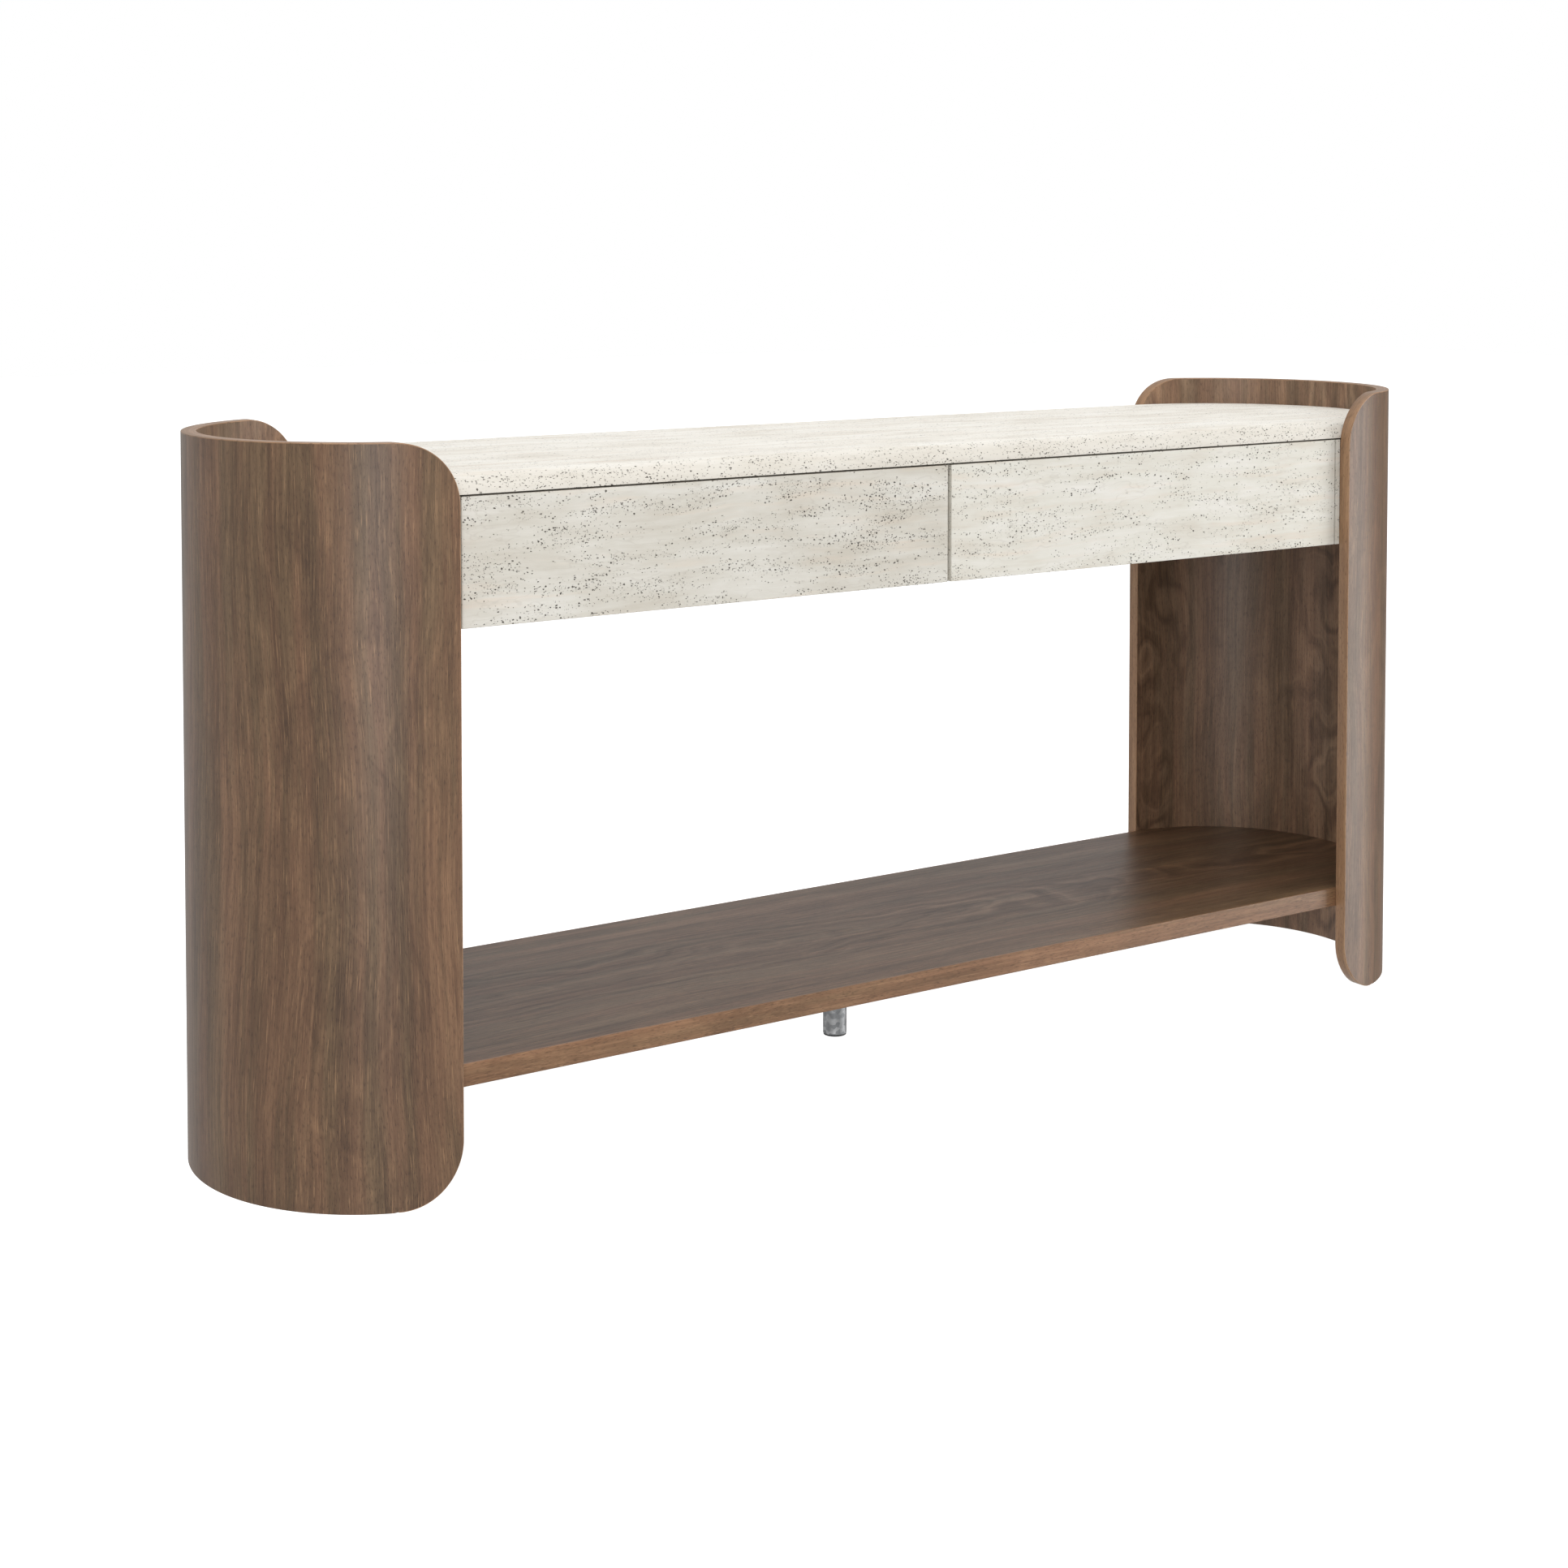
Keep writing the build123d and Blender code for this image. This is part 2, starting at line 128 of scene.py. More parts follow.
# ---------------------------------------------------------------- walnut
def walnut(name, grain_from, olive, russet, leaf=0.16, tilt=0.035, start=0.0, arch=0.34):
    """American walnut, crown-cut veneer under satin lacquer.

    The eye sees straight soft ribbons that turn from olive brown to russet, faint growth lines
    that close into tall arches at each leaf's heart, hair-fine light fibres and short dark pores
    along the grain, and a grey sheen from the lacquer.
    """
    finish, tree, skin = new_finish(name, **{
        "IOR": 1.5, "Specular IOR Level": 0.36, "Coat Weight": 0.20, "Coat Roughness": 0.34})
    place = grain_from(tree)
    # the grain wanders sideways over half a metre of length
    wander = add(tree, "ShaderNodeTexNoise", {
        "Vector": add(tree, "ShaderNodeMapping", {"Vector": place, "Scale": (5.0, 1.6, 5.0)}),
        "Scale": 1.0, "Detail": 2.0, "Roughness": 0.45})
    wander = add(tree, "ShaderNodeVectorMath", {0: wander.outputs["Color"], 1: (0.5, 0.5, 0.5)},
                 operation="SUBTRACT")
    wander = add(tree, "ShaderNodeVectorMath", {0: wander, 1: (0.07, 0.25, 0.0)},
                 operation="MULTIPLY")
    grain = add(tree, "ShaderNodeVectorMath", {0: place, 1: wander}, operation="ADD")
    split = add(tree, "ShaderNodeSeparateXYZ", {"Vector": grain})
    # distance from the tree's heart: sideways within one leaf, and deeper along its length
    aside = add(tree, "ShaderNodeMath", {0: split.outputs[0], 1: leaf}, operation="PINGPONG")
    deep = add(tree, "ShaderNodeMath", {0: split.outputs[1], 1: tilt, 2: start},
               operation="MULTIPLY_ADD")
    dome = add(tree, "ShaderNodeTexNoise", {
        "Vector": add(tree, "ShaderNodeMapping", {"Vector": place, "Scale": (6.0, 3.4, 6.0)}),
        "Scale": 1.0, "Detail": 3.0, "Roughness": 0.5})
    deep = add(tree, "ShaderNodeMath", {0: dome.outputs[0], 1: 0.11, 2: deep},
               operation="MULTIPLY_ADD")
    heart = add(tree, "ShaderNodeCombineXYZ", {"X": aside, "Y": deep})
    ring = add(tree, "ShaderNodeVectorMath", {0: heart}, operation="LENGTH").outputs["Value"]
    # growth lines and the slower change of tone with age: the width of each in metres
    layers = {}
    for title, width, detail in (("year", 0.0065, 2.0), ("age", 0.040, 2.0)):
        turns = add(tree, "ShaderNodeMath", {0: ring, 1: 1 / width}, operation="MULTIPLY")
        layers[title] = add(tree, "ShaderNodeTexNoise", {
            "W": turns, "Scale": 1.0, "Detail": detail, "Roughness": 0.55}, noise_dimensions="1D")
    # width and length of each kind of mark in the grain, in metres; real pores and hairs are
    # about a quarter as wide, and are drawn this coarse so that they show
    for title, width, length, detail in (
            ("ribbon", 0.026, 1.1, 4.0), ("tint", 0.024, 0.5, 4.0),
            ("streak", 0.0045, 0.22, 4.0), ("fibre", 0.0016, 0.10, 3.0),
            ("hair", 0.0011, 0.045, 2.0), ("pore", 0.0010, 0.0075, 1.0),
            ("blotch", 0.045, 0.11, 4.0)):
        stretched = add(tree, "ShaderNodeMapping", {
            "Vector": grain, "Location": (1.7 * len(layers), 0.9 * len(layers), 0.0),
            "Scale": (1 / width, 1 / length, 1 / width)})
        layers[title] = add(tree, "ShaderNodeTexNoise", {
            "Vector": stretched, "Scale": 1.0, "Detail": detail, "Roughness": 0.62})
    # growth lines are drawn out wide and clear at the heart, and crowd and fade away from it
    crown = add(tree, "ShaderNodeMapRange", {
        "Value": aside, "From Min": 0.02, "From Max": 0.10, "To Min": arch, "To Max": 0.08})
    year = add(tree, "ShaderNodeMath", {0: layers["year"].outputs[0], 1: 0.5},
               operation="SUBTRACT")
    # the tone starts a little light, and each kind of mark adds its share
    tone = add(tree, "ShaderNodeMath", {0: year, 1: crown, 2: 0.055}, operation="MULTIPLY_ADD")
    for title, weight in (("ribbon", 0.25), ("age", 0.10), ("streak", 0.22), ("fibre", 0.18),
                          ("pore", 0.06), ("blotch", 0.14)):
        tone = add(tree, "ShaderNodeMath", {0: layers[title].outputs[0], 1: weight, 2: tone},
                   operation="MULTIPLY_ADD")
    cool = add(tree, "ShaderNodeValToRGB", {"Fac": tone}, stops=olive)
    warm = add(tree, "ShaderNodeValToRGB", {"Fac": tone}, stops=russet)
    tint = add(tree, "ShaderNodeMapRange", {
        "Value": layers["tint"].outputs[0], "From Min": 0.36, "From Max": 0.64,
        "To Min": 0.0, "To Max": 1.0}, interpolation_type="SMOOTHSTEP")
    colour = add(tree, "ShaderNodeMix", {"Factor": tint, "A": cool, "B": warm}, data_type="RGBA")
    hairs = add(tree, "ShaderNodeMapRange", {
        "Value": layers["hair"].outputs[0], "From Min": 0.56, "From Max": 0.72,
        "To Min": 0.0, "To Max": 0.55}, interpolation_type="SMOOTHSTEP")
    colour = add(tree, "ShaderNodeMix", {"Factor": hairs, "A": colour, "B": shade("#a58260")},
                 data_type="RGBA")
    pores = add(tree, "ShaderNodeMapRange", {
        "Value": layers["pore"].outputs[0], "From Min": 0.30, "From Max": 0.42,
        "To Min": 0.40, "To Max": 0.0}, interpolation_type="SMOOTHSTEP")
    colour = add(tree, "ShaderNodeMix", {"Factor": pores, "A": colour, "B": shade("#2e2018")},
                 data_type="RGBA")
    shine = add(tree, "ShaderNodeMapRange", {
        "Value": tone, "From Min": 0.4, "From Max": 0.6, "To Min": 0.46, "To Max": 0.38})
    height = add(tree, "ShaderNodeMath", {0: pores, 1: -1.6, 2: layers["fibre"].outputs[0]},
                 operation="MULTIPLY_ADD")
    dress(tree, skin, colour, shine, height, 0.00005)
    return finish


def along_sheet(tree):
    """Grain runs up the sheet's own map: first across the leaf, then along it, in metres."""
    return add(tree, "ShaderNodeUVMap", uv_map="grain")


def along_length(tree):
    """Grain runs along the table's length."""
    place = add(tree, "ShaderNodeSeparateXYZ",
                {"Vector": add(tree, "ShaderNodeTexCoord").outputs["Object"]})
    return add(tree, "ShaderNodeCombineXYZ",
               {"X": place.outputs[1], "Y": place.outputs[0], "Z": place.outputs[2]})


def across_length(tree):
    """As along_length, from another part of the log."""
    return add(tree, "ShaderNodeVectorMath", {0: along_length(tree), 1: (0.37, 2.3, 0.11)},
               operation="ADD")


# tones from the darkest marks to the lightest, for the olive and the russet ribbons
OLIVE = ((0.38, "#3d2e20"), (0.46, "#533e2d"), (0.53, "#624d38"), (0.64, "#7d644b"))
RUSSET = ((0.38, "#463225"), (0.46, "#5d4432"), (0.53, "#6f523d"), (0.64, "#8d6c51"))
# the inner faces' tones are lighter than the outer faces': painted light, which brightens the
# faces inside the bends where they sit in shade
INNER_OLIVE_PAINTED_LIGHT = ((0.38, "#483728"), (0.46, "#5f4a37"), (0.53, "#715b47"), (0.64, "#91775f"))
INNER_RUSSET_PAINTED_LIGHT = ((0.38, "#503b2d"), (0.46, "#6b513f"), (0.53, "#80624c"), (0.64, "#a07f64"))
RIM_OLIVE = ((0.38, "#614a34"), (0.46, "#7b5e45"), (0.53, "#8f6f52"), (0.64, "#a88564"))
RIM_RUSSET = ((0.38, "#694c37"), (0.46, "#856448"), (0.53, "#987355"), (0.64, "#b28c6a"))
LIP_OLIVE = ((0.38, "#533d2a"), (0.46, "#6b4f37"), (0.53, "#7c5f44"), (0.64, "#957456"))
LIP_RUSSET = ((0.38, "#593e2c"), (0.46, "#73533a"), (0.53, "#866247"), (0.64, "#a0795a"))
walnut_outside = walnut("straight-grained walnut veneer, satin lacquer", along_sheet,
                        OLIVE, RUSSET, leaf=0.25, arch=0.12)
# the inner faces take the lighter tones, as painted light
walnut_inside_painted_light = walnut("crown-cut walnut veneer, satin lacquer", along_sheet,
                       INNER_OLIVE_PAINTED_LIGHT, INNER_RUSSET_PAINTED_LIGHT, arch=0.36)
walnut_shelf = walnut("walnut veneer on the shelf, satin lacquer", along_length, OLIVE, RUSSET,
                      leaf=0.14, tilt=0.03, start=0.02, arch=0.26)
walnut_edging = walnut("walnut edging, satin lacquer", along_sheet, RIM_OLIVE, RIM_RUSSET,
                       leaf=0.5, arch=0.08)
walnut_shelf_edging = walnut("walnut edging on the shelf, satin lacquer", across_length,
                             LIP_OLIVE, LIP_RUSSET, leaf=0.5, arch=0.08)


# ---------------------------------------------------------------- travertine
def travertine(name, shadow, cream, light, hole_share, drift=(0.0, 0.0, 0.0), round_at=None):
    """Honed, unfilled travertine, cut across its beds.

    The eye sees cream stone in faint level beds, whiter clouds, thin warm and grey lines,
    and many small dark holes that follow the beds in drifts.
    """
    finish, tree, skin = new_finish(name, **{"IOR": 1.5, "Specular IOR Level": 0.22})
    place = add(tree, "ShaderNodeVectorMath", {
        0: add(tree, "ShaderNodeTexCoord").outputs["Object"], 1: drift}, operation="ADD")
    # beds dip and rise by a few millimetres
    swell = add(tree, "ShaderNodeTexNoise", {
        "Vector": add(tree, "ShaderNodeMapping", {"Vector": place, "Scale": (5.0, 9.0, 9.0)}),
        "Scale": 1.0, "Detail": 3.0, "Roughness": 0.5})
    swell = add(tree, "ShaderNodeVectorMath", {0: swell.outputs["Color"], 1: (0.5, 0.5, 0.5)},
                operation="SUBTRACT")
    swell = add(tree, "ShaderNodeVectorMath", {0: swell, 1: (0.0, 0.022, 0.022)},
                operation="MULTIPLY")
    bed = add(tree, "ShaderNodeVectorMath", {0: place, 1: swell}, operation="ADD")
    layers = {}
    # length and width of each kind of mark in the beds, in metres
    for title, length, width, detail in (
            ("cloud", 0.13, 0.030, 5.0), ("bed", 0.22, 0.004, 4.0), ("warm", 0.16, 0.012, 3.0),
            ("drift", 0.11, 0.013, 4.0), ("vein", 0.12, 0.03, 3.0), ("speck", 0.002, 0.0016, 2.0)):
        stretched = add(tree, "ShaderNodeMapping", {
            "Vector": bed, "Location": (0.7 * len(layers), 0.31 * len(layers), 0.0),
            "Scale": (1 / length, 1 / width, 1 / width)})
        layers[title] = add(tree, "ShaderNodeTexNoise", {
            "Vector": stretched, "Scale": 1.0, "Detail": detail, "Roughness": 0.6})
    tone = add(tree, "ShaderNodeMath", {0: layers["cloud"].outputs[0], 1: 0.76},
               operation="MULTIPLY")
    tone = add(tree, "ShaderNodeMath", {0: layers["bed"].outputs[0], 1: 0.24, 2: tone},
               operation="MULTIPLY_ADD")
    colour = add(tree, "ShaderNodeValToRGB", {"Fac": tone},
                 stops=((0.36, shadow), (0.50, cream), (0.64, light)))
    warm = add(tree, "ShaderNodeMapRange", {
        "Value": layers["warm"].outputs[0], "From Min": 0.54, "From Max": 0.72,
        "To Min": 0.0, "To Max": 0.34})
    colour = add(tree, "ShaderNodeMix", {"Factor": warm, "A": colour, "B": shade("#d9c8b6")},
                 data_type="RGBA")
    # a thin grey line lies where the vein field crosses its middle
    line = add(tree, "ShaderNodeMath", {0: layers["vein"].outputs[0], 1: 0.5},
               operation="SUBTRACT")
    line = add(tree, "ShaderNodeMath", {0: line}, operation="ABSOLUTE")
    line = add(tree, "ShaderNodeMapRange", {
        "Value": line, "From Min": 0.0, "From Max": 0.010, "To Min": 0.22, "To Max": 0.0})
    colour = add(tree, "ShaderNodeMix", {"Factor": line, "A": colour, "B": shade("#a9a196")},
                 data_type="RGBA")
    # holes: one chance in each cell, opened where the drifts run; the finer cells stand for pits
    # of half a millimetre and less, drawn coarse enough to show
    crowd = add(tree, "ShaderNodeMapRange", {
        "Value": layers["drift"].outputs[0], "From Min": 0.43, "From Max": 0.66,
        "To Min": 0.0, "To Max": 1.0})
    if round_at is not None:
        # the front round cuts across the beds and opens more holes; its colour is also darkened
        # there, as painted shade where the round turns down from the light
        front = add(tree, "ShaderNodeSeparateXYZ",
                    {"Vector": add(tree, "ShaderNodeTexCoord").outputs["Object"]}).outputs[1]
        round_share = add(tree, "ShaderNodeMapRange", {
            "Value": front, "From Min": round_at[0], "From Max": round_at[1],
            "To Min": 0.0, "To Max": 1.0})
        crowd = add(tree, "ShaderNodeMath", {0: round_share, 1: 0.65, 2: crowd},
                    operation="MULTIPLY_ADD")
        round_painted_shade = add(tree, "ShaderNodeMath", {0: round_share, 1: 0.6}, operation="MULTIPLY")
        colour = add(tree, "ShaderNodeMix", {"Factor": round_painted_shade, "A": colour, "B": shade("#c4beb3")},
                     data_type="RGBA")
    ragged = add(tree, "ShaderNodeTexNoise", {"Vector": place, "Scale": 700.0, "Detail": 2.0})
    ragged = add(tree, "ShaderNodeVectorMath", {0: ragged.outputs["Color"], 1: (0.5, 0.5, 0.5)},
                 operation="SUBTRACT")
    ragged = add(tree, "ShaderNodeVectorMath", {0: ragged, 1: (0.0022, 0.0016, 0.0016)},
                 operation="MULTIPLY")
    pitted = add(tree, "ShaderNodeVectorMath", {0: bed, 1: ragged}, operation="ADD")
    holes = None
    for length, width, reach, share in ((0.0042, 0.0027, 0.32, hole_share),
                                        (0.0022, 0.0017, 0.34, hole_share)):
        cells = add(tree, "ShaderNodeTexVoronoi", {
            "Vector": add(tree, "ShaderNodeMapping", {
                "Vector": pitted, "Scale": (1 / length, 1 / width, 1 / width)}), "Scale": 1.0})
        chance = add(tree, "ShaderNodeSeparateColor", {"Color": cells.outputs["Color"]})
        limit = add(tree, "ShaderNodeMath", {0: crowd, 1: share}, operation="MULTIPLY")
        drawn = add(tree, "ShaderNodeMath", {0: chance.outputs[0], 1: limit},
                    operation="LESS_THAN")
        size = add(tree, "ShaderNodeMath", {0: chance.outputs[1], 1: 0.6 * reach, 2: 0.4 * reach},
                   operation="MULTIPLY_ADD")
        gap = add(tree, "ShaderNodeMath", {0: size, 1: cells.outputs["Distance"]},
                  operation="SUBTRACT")
        hole = add(tree, "ShaderNodeMapRange", {
            "Value": gap, "From Min": -0.045, "From Max": 0.045, "To Min": 0.0, "To Max": 1.0},
            interpolation_type="SMOOTHSTEP")
        hole = add(tree, "ShaderNodeMath", {0: hole, 1: drawn}, operation="MULTIPLY")
        holes = hole if holes is None else add(tree, "ShaderNodeMath", {0: holes, 1: hole},
                                               operation="MAXIMUM")
    shadowed = add(tree, "ShaderNodeMath", {0: holes, 1: 0.92}, operation="MULTIPLY")
    colour = add(tree, "ShaderNodeMix", {"Factor": shadowed, "A": colour, "B": shade("#3a352d")},
                 data_type="RGBA")
    shine = add(tree, "ShaderNodeMapRange", {
        "Value": layers["speck"].outputs[0], "From Min": 0.3, "From Max": 0.7,
        "To Min": 0.54, "To Max": 0.66})
    height = add(tree, "ShaderNodeMath", {0: layers["speck"].outputs[0], 1: 0.06},
                 operation="MULTIPLY")
    height = add(tree, "ShaderNodeMath", {0: height, 1: holes}, operation="SUBTRACT")
    dress(tree, skin, colour, shine, height, 0.0005)
    return finish


travertine_top = travertine("honed travertine, top", "#e0dacf", "#ece8df", "#f2efe8", 0.40,
                           round_at=(-0.170, -0.182))
# the drawer fronts' tones are darker than the top's, and the left front's darker than the right's:
# painted shade, as if the light fell from above and from the right
travertine_front = travertine("honed travertine, right front",
                              "#cec8bc", "#d7d4ca", "#dfdcd5", 0.55, (0.9, 0.2, 0.3))
travertine_front_left_painted_shade = travertine("honed travertine, left front",
                                   "#c3bdb1", "#ccc8be", "#d6d3cb", 0.85, (3.3, 0.5, 0.7))
travertine_back = travertine("travertine-faced back board", "#ccc5b8", "#dad6cc", "#e3e0d8", 0.45,
                             (6.1, 0.9, 0.1))


# ---------------------------------------------------------------- plywood and beech
PLY = 0.0014                 # thickness of one ply


def plywood(name, stack, grain, face, glue):
    """Birch plywood with a clear satin coat: pale close-grained faces, and on each cut edge
    the plies light and dark by turns."""
    finish, tree, skin = new_finish(name, **{"IOR": 1.5})
    place = add(tree, "ShaderNodeTexCoord").outputs["Object"]
    split = add(tree, "ShaderNodeSeparateXYZ", {"Vector": place})
    ply = add(tree, "ShaderNodeMath", {0: split.outputs[stack], 1: PLY}, operation="PINGPONG")
    ply = add(tree, "ShaderNodeMapRange", {
        "Value": ply, "From Min": 0.0005, "From Max": 0.0009, "To Min": 0.0, "To Max": 1.0})
    scale = [260.0, 260.0, 260.0]
    scale[grain] = 9.0
    broad = [s * 0.12 for s in scale]
    fibre = add(tree, "ShaderNodeTexNoise", {
        "Vector": add(tree, "ShaderNodeMapping", {"Vector": place, "Scale": scale}),
        "Scale": 1.0, "Detail": 4.0, "Roughness": 0.6})
    figure = add(tree, "ShaderNodeTexNoise", {
        "Vector": add(tree, "ShaderNodeMapping", {"Vector": place, "Scale": broad}),
        "Scale": 1.0, "Detail": 2.0})
    tone = add(tree, "ShaderNodeMath", {0: fibre.outputs[0], 1: figure.outputs[0]},
               operation="ADD")
    tone = add(tree, "ShaderNodeMath", {0: ply, 1: 0.35, 2: tone}, operation="MULTIPLY_ADD")
    colour = add(tree, "ShaderNodeValToRGB", {
        "Fac": add(tree, "ShaderNodeMath", {0: tone, 1: 0.6}, operation="MULTIPLY")},
        stops=((0.35, glue), (0.62, face), (0.85, "#efdcbc")))
    shine = add(tree, "ShaderNodeMapRange", {
        "Value": fibre.outputs[0], "From Min": 0.3, "From Max": 0.7,
        "To Min": 0.42, "To Max": 0.58})
    dress(tree, skin, colour, shine, fibre, 0.00008)
    return finish


ply_flat = plywood("birch plywood, laid flat", 2, 0, "#dcc096", "#a67f55")
ply_upright_x = plywood("birch plywood, on edge front to back", 0, 1, "#e0c69d", "#ab855b")
ply_upright_y = plywood("birch plywood, on edge along the table", 1, 0, "#e0c69d", "#ab855b")
beech = plywood("turned beech dowel", 1, 0, "#d3a878", "#b98c60")


# ---------------------------------------------------------------- metals and plastics
def metal(name, colour, dark, roughness, streak, spangle=0.0):
    """Coated steel: rolled or turned lines in the sheen, a millimetre apart so that they show,
    and crystal patches of 5 mm where it was dipped in zinc."""
    finish, tree, skin = new_finish(name, **{"Metallic": 1.0})
    place = add(tree, "ShaderNodeTexCoord").outputs["Object"]
    lines = add(tree, "ShaderNodeTexNoise", {
        "Vector": add(tree, "ShaderNodeMapping", {"Vector": place, "Scale": streak}),
        "Scale": 1.0, "Detail": 3.0})
    patches = add(tree, "ShaderNodeTexVoronoi", {"Vector": place, "Scale": 190.0})
    patches = add(tree, "ShaderNodeSeparateColor", {"Color": patches.outputs["Color"]})
    cloud = add(tree, "ShaderNodeTexNoise", {"Vector": place, "Scale": 120.0, "Detail": 4.0})
    patches = add(tree, "ShaderNodeMath", {0: patches, 1: cloud.outputs[0]}, operation="MULTIPLY")
    tone = add(tree, "ShaderNodeMix", {"Factor": spangle, "A": lines.outputs[0], "B": patches},
               data_type="FLOAT")
    tint = add(tree, "ShaderNodeValToRGB", {"Fac": tone}, stops=((0.15, dark), (0.7, colour)))
    shine = add(tree, "ShaderNodeMapRange", {
        "Value": tone, "From Min": 0.1, "From Max": 0.8,
        "To Min": roughness + 0.12, "To Max": roughness - 0.06})
    dress(tree, skin, tint, shine, lines, 0.00002)
    return finish


zinc_slide = metal("zinc-plated slide steel", "#b9bcbf", "#8f9296", 0.34, (900.0, 12.0, 900.0))
zinc_screw = metal("zinc-plated screw", "#bdbcb6", "#86857f", 0.30, (1500.0, 1500.0, 1500.0))
galvanised = metal("galvanised steel tube", "#c4c5c6", "#86888a", 0.42, (160.0, 160.0, 60.0), 0.7)


def moulded(name, colour, dark, roughness, **surface):
    """Moulded plastic with a fine spark-eroded texture that breaks up its gloss. The grain is
    drawn at 0.7 mm, several times its real size, so that it shows."""
    finish, tree, skin = new_finish(name, **surface)
    place = add(tree, "ShaderNodeTexCoord").outputs["Object"]
    grit = add(tree, "ShaderNodeTexNoise", {"Vector": place, "Scale": 1400.0, "Detail": 2.0})
    tint = add(tree, "ShaderNodeValToRGB", {"Fac": grit.outputs[0]},
               stops=((0.3, dark), (0.7, colour)))
    shine = add(tree, "ShaderNodeMapRange", {
        "Value": grit.outputs[0], "From Min": 0.3, "From Max": 0.7,
        "To Min": roughness - 0.06, "To Max": roughness + 0.06})
    dress(tree, skin, tint, shine, grit, 0.00003)
    return finish


black_glide = moulded("black polypropylene glide", "#1c1c1d", "#121213", 0.5, **{"IOR": 1.49})
clear_bumper = moulded("clear polyurethane bumper", "#e4e4e0", "#d2d2cc", 0.22,
                       **{"IOR": 1.5, "Transmission Weight": 0.7})

# ---------------------------------------------------------------- parts that keep their shape
FINISHES = {
    travertine_top: ["table_top"],
    travertine_front_left_painted_shade: ["left_drawer_face", "left_filler_strip"],
    travertine_front: ["right_drawer_face", "right_filler_strip"],
    travertine_back: ["case_back"],
    walnut_shelf: ["lower_shelf", "case_bottom"],
    walnut_shelf_edging: ["shelf_front_edging", "shelf_back_edging"],
    ply_flat: ["sub_top", "left_drawer_bottom", "right_drawer_bottom"],
    ply_upright_x: ["left_case_end", "right_case_end", "centre_divider",
                    "left_drawer_outboard_side", "left_drawer_inboard_side",
                    "right_drawer_outboard_side", "right_drawer_inboard_side"],
    ply_upright_y: ["left_drawer_inner_front", "left_drawer_back",
                    "right_drawer_inner_front", "right_drawer_back"],
    beech: ["shelf_dowels", "case_dowels"],
    zinc_slide: [name for name in nodes if name.endswith("_rail")],
    zinc_screw: [name for name in nodes if name.endswith("_screws")],
    galvanised: ["centre_leg", "leg_mounting_plate"],
    black_glide: ["leg_glide"],
    clear_bumper: ["drawer_bumpers"],
}
for finish, names in FINISHES.items():
    for name in names:
        mesh = nodes[name].data
        mesh.materials.clear()
        mesh.materials.append(finish)

# ---------------------------------------------------------------- side panels
BEND_X = 614 * MM            # where the half-round bends are centred
OUTER_R, INNER_R = 202.9 * MM, 187 * MM
END_X = 622.7 * MM           # the panels' free ends
CORNER_R = 65 * MM
PANEL_TOP = 762 * MM
EDGING_T, EASING_R = 1.0 * MM, 0.8 * MM
CORNER_STEPS, BEND_STEPS, END_STEPS, EASING_STEPS = 30, 96, 24, 4
LEAF_R = 0.2                 # the veneer's map is unrolled at this radius
INNER_LEAF, LOG_STEP = 3.17, 1.3    # where in the log the other leaves come from
SHARP = math.radians(38)     # corners sharper than this stay crisp


def panel_path(inset):
    """Stations along half of a panel, free end to crown: x, share of the bend, top, bottom."""
    stations = []
    reach = CORNER_R - inset
    for step in range(CORNER_STEPS + 1):
        turn = math.pi / 2 * step / CORNER_STEPS
        stations.append((END_X + inset + reach * (1 - math.cos(turn)), None,
                         PANEL_TOP - CORNER_R + reach * math.sin(turn),
                         CORNER_R - reach * math.sin(turn)))
    for step in range(1, BEND_STEPS // 2 + 1):
        stations.append((END_X + CORNER_R, step / (BEND_STEPS // 2), PANEL_TOP - inset, 0.0))
    return stations


def panel_point(station, radius, side, front):
    """Where a station stands on the face of the given radius; front is -1 or 1."""
    along, share, _, _ = station
    turn = math.acos((along - BEND_X) / radius)
    if share is not None:
        turn *= 1 - share
    x, y = BEND_X + radius * math.cos(turn), radius * math.sin(turn)
    return side * x, front * y, turn * front


def whole_path(inset):
    """All stations of a panel, front end to back end, each with its side of the crown."""
    half = panel_path(inset)
    return [(s, -1) for s in half] + [(s, 1) for s in reversed(half[:-1])]


def make_mesh(name, points, faces, maps, finishes, kinds):
    """A smooth-shaded mesh with its grain map; kinds gives each face's place in finishes."""
    mesh = bpy.data.meshes.new(name)
    mesh.from_pydata(points, [], faces)
    grain = mesh.uv_layers.new(name="grain")
    grain.data.foreach_set("uv", [value for face in maps for corner in face for value in corner])
    mesh.polygons.foreach_set("use_smooth", [True] * len(faces))
    for finish in finishes:
        mesh.materials.append(finish)
    mesh.polygons.foreach_set("material_index", kinds)
    mesh.validate()
    mesh.set_sharp_from_angle(angle=SHARP)
    piece = bpy.data.objects.new(name, mesh)
    bpy.context.scene.collection.objects.link(piece)
    return piece


